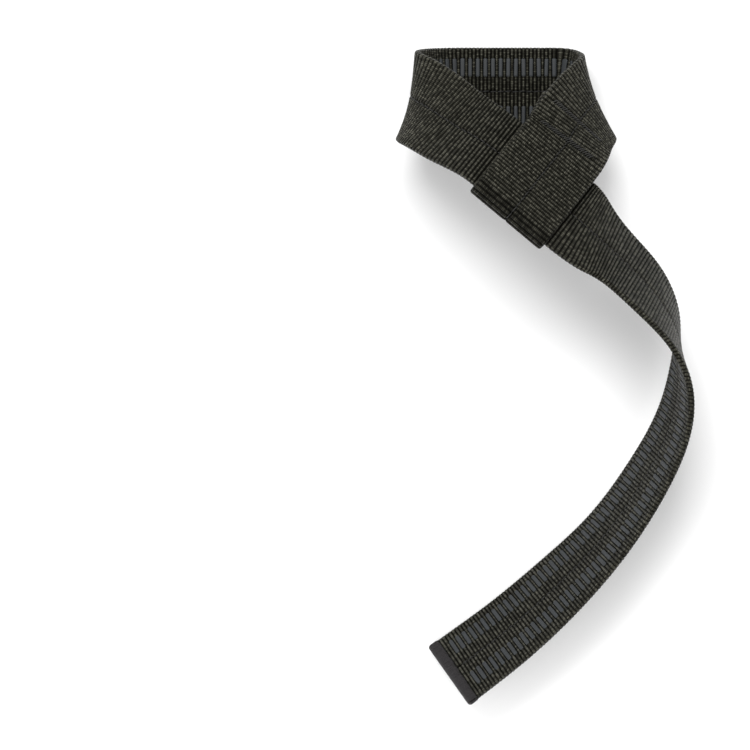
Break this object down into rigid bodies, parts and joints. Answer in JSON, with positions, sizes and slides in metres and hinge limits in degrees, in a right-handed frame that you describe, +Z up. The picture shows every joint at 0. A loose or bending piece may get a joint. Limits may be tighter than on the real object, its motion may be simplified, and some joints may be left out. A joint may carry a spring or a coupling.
{
  "type": "weightlifting strap",
  "caption": "Webbing lifting strap with a sewn sleeve, an open wrist loop and a twisted tail with rubber grip bands.",
  "frame": {"origin": "middle of the strap's box, on the surface that it lies on", "axes": "+Y is along the strap's longest side, from the tail's tip towards the wrist loop, +Z is up from the surface, +X is to the loop's right seen from above"},
  "size_m": [0.1244, 0.2812, 0.0639],
  "materials": {
    "webbing": "ribbed black nylon",
    "grip_rubber": "satin grey rubber",
    "binding_thread": "matte black thread"
  },
  "bodies": {
    "root": {"strap_webbing": "webbing", "grip_strip_near": "grip_rubber", "grip_strip_far": "grip_rubber", "end_binding": "binding_thread"}
  },
  "joints": []
}
